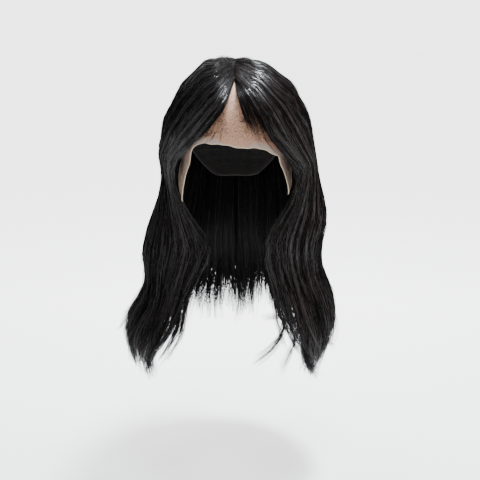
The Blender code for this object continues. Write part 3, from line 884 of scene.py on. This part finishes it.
def make_hair():
    """Each lock has dull strands among glossy ones, as the light picks out some tresses only; the glossy
    copies are painted lighter as a painted highlight and the dull ones darker as painted shade.
    """
    lit_and_shaded_copies = {name: hair_material(name) for name in HAIR_FINISHES_AND_PAINTED_LIGHT}
    tied = [lit_and_shaded_copies["tied_hair_dull_painted_shade"], lit_and_shaded_copies["tied_hair_glossy_painted_highlight"]]
    sewn = [lit_and_shaded_copies["weft_hair_dull_painted_shade"], lit_and_shaded_copies["weft_hair_glossy_painted_highlight"]]
    seed = LOCK_SEED
    for side, word in ((-1, "left"), (1, "right")):
        for weft, locks in ((False, UPPER_LOCKS), (True, WEFT_LOCKS)):
            for name, start, end, left_tips, right_tips in locks:
                tips = left_tips if side < 0 else right_tips
                make_lock(seed, f"{name}_{word}", side, (start, end), tips, weft, sewn if weft else tied)
                seed += 1
    make_veil(tied[0])
    make_baby_hairs(tied[0])
    make_wisps(tied[0])


# Lace and cap

def wall_mesh(name, inner, outer, material, tint, closed_round):
    """Closed wall between two grids of points of shape (rows, columns, 3)."""
    rows, columns = inner.shape[:2]
    number = np.arange(rows * columns).reshape(rows, columns)
    if closed_round:
        number = np.concatenate([number, number[:, :1]], axis=1)
    other = number + rows * columns

    def quads(a, b, c, d):
        return np.stack([a.ravel(), b.ravel(), c.ravel(), d.ravel()], axis=-1)

    faces = [
        quads(other[:-1, :-1], other[1:, :-1], other[1:, 1:], other[:-1, 1:]),
        quads(number[:-1, :-1], number[:-1, 1:], number[1:, 1:], number[1:, :-1]),
        quads(number[0, :-1], other[0, :-1], other[0, 1:], number[0, 1:]),
        quads(number[-1, :-1], number[-1, 1:], other[-1, 1:], other[-1, :-1]),
    ]
    if not closed_round:
        faces.append(quads(number[:-1, 0], number[1:, 0], other[1:, 0], other[:-1, 0]))
        faces.append(quads(number[:-1, -1], other[:-1, -1], other[1:, -1], number[1:, -1]))
    vertices = np.concatenate([inner.reshape(-1, 3), outer.reshape(-1, 3)])
    tints = np.concatenate([tint.reshape(-1, 4), tint.reshape(-1, 4)])
    return mesh_object(name, vertices, faces, [material], tints)


def lace_grid(columns, rows):
    """Azimuths, turns, lifts and distances above the edge over the lace."""
    reach = SEAM[-1, 0]
    around = np.linspace(-reach, reach, columns)
    step = 1.0
    slope = (table(SEAM, np.abs(around) + step, 1) - table(SEAM, np.abs(around) - step, 1)) / (2.0 * step)
    start = table(SEAM, np.abs(around), 1)
    start = start + SEAM_GAP / (WIDEST_DROP * QUARTER) * np.hypot(1.0, slope * 90.0)
    tilt = LACE_TILT * np.sin(np.radians(around)) * (1.0 - smooth(42.0, 58.0, np.abs(around)))
    tab = np.where(around > 0.0, TAB_DROP_RIGHT, TAB_DROP_LEFT)
    drop = LACE_CENTRE_DROP + tilt + tab * table(LACE_EDGE, np.abs(around), 1)
    drop = drop + 0.0007 * np.sin(around * 0.21) + 0.0003 * np.sin(around * 0.53 + 1.0)
    end = turn_at_drop(drop)
    lift = TAB_LIFT * table(LACE_EDGE, np.abs(around), 2)
    share = np.linspace(0.0, 1.0, rows)[:, None]
    turn = start + (end - start) * share
    raised = lift * smooth(TAB_START_TURN, np.maximum(end, TAB_START_TURN) + 0.05, turn)
    azimuth = np.radians(around)[None, :] + 0 * turn
    above = (end - turn) * WIDEST_DROP * SIDE_SLOPE
    return azimuth, turn, raised, above


def make_lace():
    azimuth, turn, raised, above = lace_grid(LACE_COLUMNS, LACE_ROWS)
    inner = head_points(azimuth, turn, raised + LACE_SEAT)
    outer = head_points(azimuth, turn, raised + LACE_SEAT + LACE_THICKNESS)
    knotted = smooth(0.003, 0.014, above)
    eye = smooth(10.0, 20.0, np.abs(np.degrees(azimuth)))
    pale = 1.0 - smooth(0.001 + 0.002 * eye, 0.002 + 0.0075 * eye, above)
    pale = np.maximum(pale, 0.75 * smooth(44.0, 52.0, np.abs(np.degrees(azimuth))))
    tint = np.stack([knotted, pale, 0 * above, 0 * above + 1.0], axis=-1)
    piece = wall_mesh("lace_sheet", inner, outer, lace_material(), tint, False)
    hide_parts("lace_front")
    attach(piece, "root")

    edge = head_points(azimuth[-1], turn[-1], raised[-1] + HEM_RADIUS)
    radii = np.full((1, len(edge)), HEM_RADIUS)
    rings = tube_rings(edge[None], radii, 6)
    hem = mesh_object("lace_hem", rings.reshape(-1, 3), list(tube_faces(1, len(edge), 6)), [hem_material()])
    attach(hem, "root")


def make_cap():
    """Cap finely modelled, with rows of weft stitching on its inside."""
    azimuth = np.linspace(0.0, math.tau, CAP_COLUMNS, endpoint=False)
    around = 180.0 - np.abs(180.0 - np.degrees(azimuth))
    share = table(CAP_EDGE, np.maximum(around, CAP_EDGE[0, 0]), 1)
    behind = turn_at_drop(CAP_SIDE_DROP + share * (CAP_NAPE_DROP - CAP_SIDE_DROP))
    reach = np.where(around < SEAM[-1, 0], table(SEAM, np.minimum(around, SEAM[-1, 0]), 1), behind)
    grid = np.linspace(0.004, 1.0, CAP_ROWS)[:, None] * reach
    turns = azimuth[None, :] + 0 * grid
    height = -head_points(turns, grid, 0.0)[..., 2]
    stitched = np.maximum(0.0, np.cos(height * math.tau / WEFT_PITCH)) ** 10 * smooth(0.35, 0.5, grid)
    bound = smooth(0.93, 0.95, np.linspace(0.0, 1.0, CAP_ROWS))[:, None] + 0.0 * grid
    inner = head_points(turns, grid, 0.0001 - STITCH_HEIGHT * np.maximum(stitched, bound))
    outer = head_points(turns, grid, CAP_WALL)
    tint = np.stack([np.clip(stitched, 0.0, 1.0), bound, 0.0 * grid, 0.0 * grid + 1.0], axis=-1)
    piece = wall_mesh("cap_net", inner, outer, net_material(), tint, True)
    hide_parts("cap")
    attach(piece, "root")


# Stage

def make_stage():
    """Pale floor that rises into a plain wall all round; it glows as painted light, faintly in front and
    strongly behind.
    """
    low, segments = -STAGE_DROP, STAGE_SEGMENTS
    profile = [(0.3, low), (1.4, low), (STAGE_REACH, low)]
    for k in range(1, 13):
        angle = QUARTER * k / 12
        out, up = STAGE_BEND * math.sin(angle), STAGE_BEND * (1.0 - math.cos(angle))
        profile.append((STAGE_REACH + out, low + up))
    profile.append((STAGE_REACH + STAGE_BEND, low + STAGE_HEIGHT))
    vertices = [(0.0, 0.0, low)]
    for radius, z in profile:
        for k in range(segments):
            angle = math.tau * k / segments
            vertices.append((radius * math.cos(angle), radius * math.sin(angle), z))
    faces = [(0, 1 + k, 1 + (k + 1) % segments) for k in range(segments)]
    for i in range(len(profile) - 1):
        for k in range(segments):
            near, far = 1 + i * segments, 1 + (i + 1) * segments
            after = (k + 1) % segments
            faces.append((near + k, far + k, far + after, near + after))
    floor = bpy.data.meshes.new("floor")
    floor.from_pydata(vertices, [], faces)
    floor.shade_smooth()
    made, nodes, links, shader = new_material("pale_floor")
    shader.inputs["Base Color"].default_value = (*STAGE_GREY, 1.0)
    shader.inputs["Roughness"].default_value = 0.9
    shader.inputs["Emission Color"].default_value = (1.0, 1.0, 1.0, 1.0)
    where = nodes.new("ShaderNodeTexCoord")
    axes = nodes.new("ShaderNodeSeparateXYZ")
    links.new(where.outputs["Object"], axes.inputs["Vector"])
    # Painted light: the floor and wall glow, weakly on the camera's side and strongly behind the wig.
    glow = nodes.new("ShaderNodeMapRange")
    glow.inputs["From Min"].default_value = GLOW_NEAR[0]
    glow.inputs["From Max"].default_value = GLOW_FAR[0]
    glow.inputs["To Min"].default_value = GLOW_NEAR[1]
    glow.inputs["To Max"].default_value = GLOW_FAR[1]
    links.new(axes.outputs["Y"], glow.inputs["Value"])
    links.new(glow.outputs["Result"], shader.inputs["Emission Strength"])
    floor.materials.append(made)
    piece = bpy.data.objects.new("floor", floor)
    bpy.context.scene.collection.objects.link(piece)


def area_light(name, place, target, size, power, colour):
    data = bpy.data.lights.new(name, "AREA")
    data.shape = "RECTANGLE"
    data.size, data.size_y = size
    data.energy = power
    data.color = colour
    lamp = bpy.data.objects.new(name, data)
    lamp.location = place
    lamp.rotation_euler = (Vector(target) - Vector(place)).to_track_quat("-Z", "Y").to_euler()
    bpy.context.scene.collection.objects.link(lamp)


def make_lights():
    for light in LIGHTS:
        area_light(*light)
    world = bpy.data.worlds.new("studio")
    world.use_nodes = True
    background = world.node_tree.nodes["Background"]
    background.inputs["Color"].default_value = (*WORLD_TONE, 1.0)
    background.inputs["Strength"].default_value = WORLD_STRENGTH
    bpy.context.scene.world = world


def make_camera():
    """A lens near 50 mm that looks down at the front."""
    data = bpy.data.cameras.new("camera")
    data.sensor_width = SENSOR_WIDTH
    data.lens = CAMERA_LENS
    camera = bpy.data.objects.new("camera", data)
    camera.location = CAMERA_PLACE
    camera.rotation_euler = (math.radians(90.0 - CAMERA_PITCH), 0.0, 0.0)
    bpy.context.scene.collection.objects.link(camera)
    bpy.context.scene.camera = camera


make_cap()
make_lace()
make_hair()
make_stage()
make_lights()
make_camera()
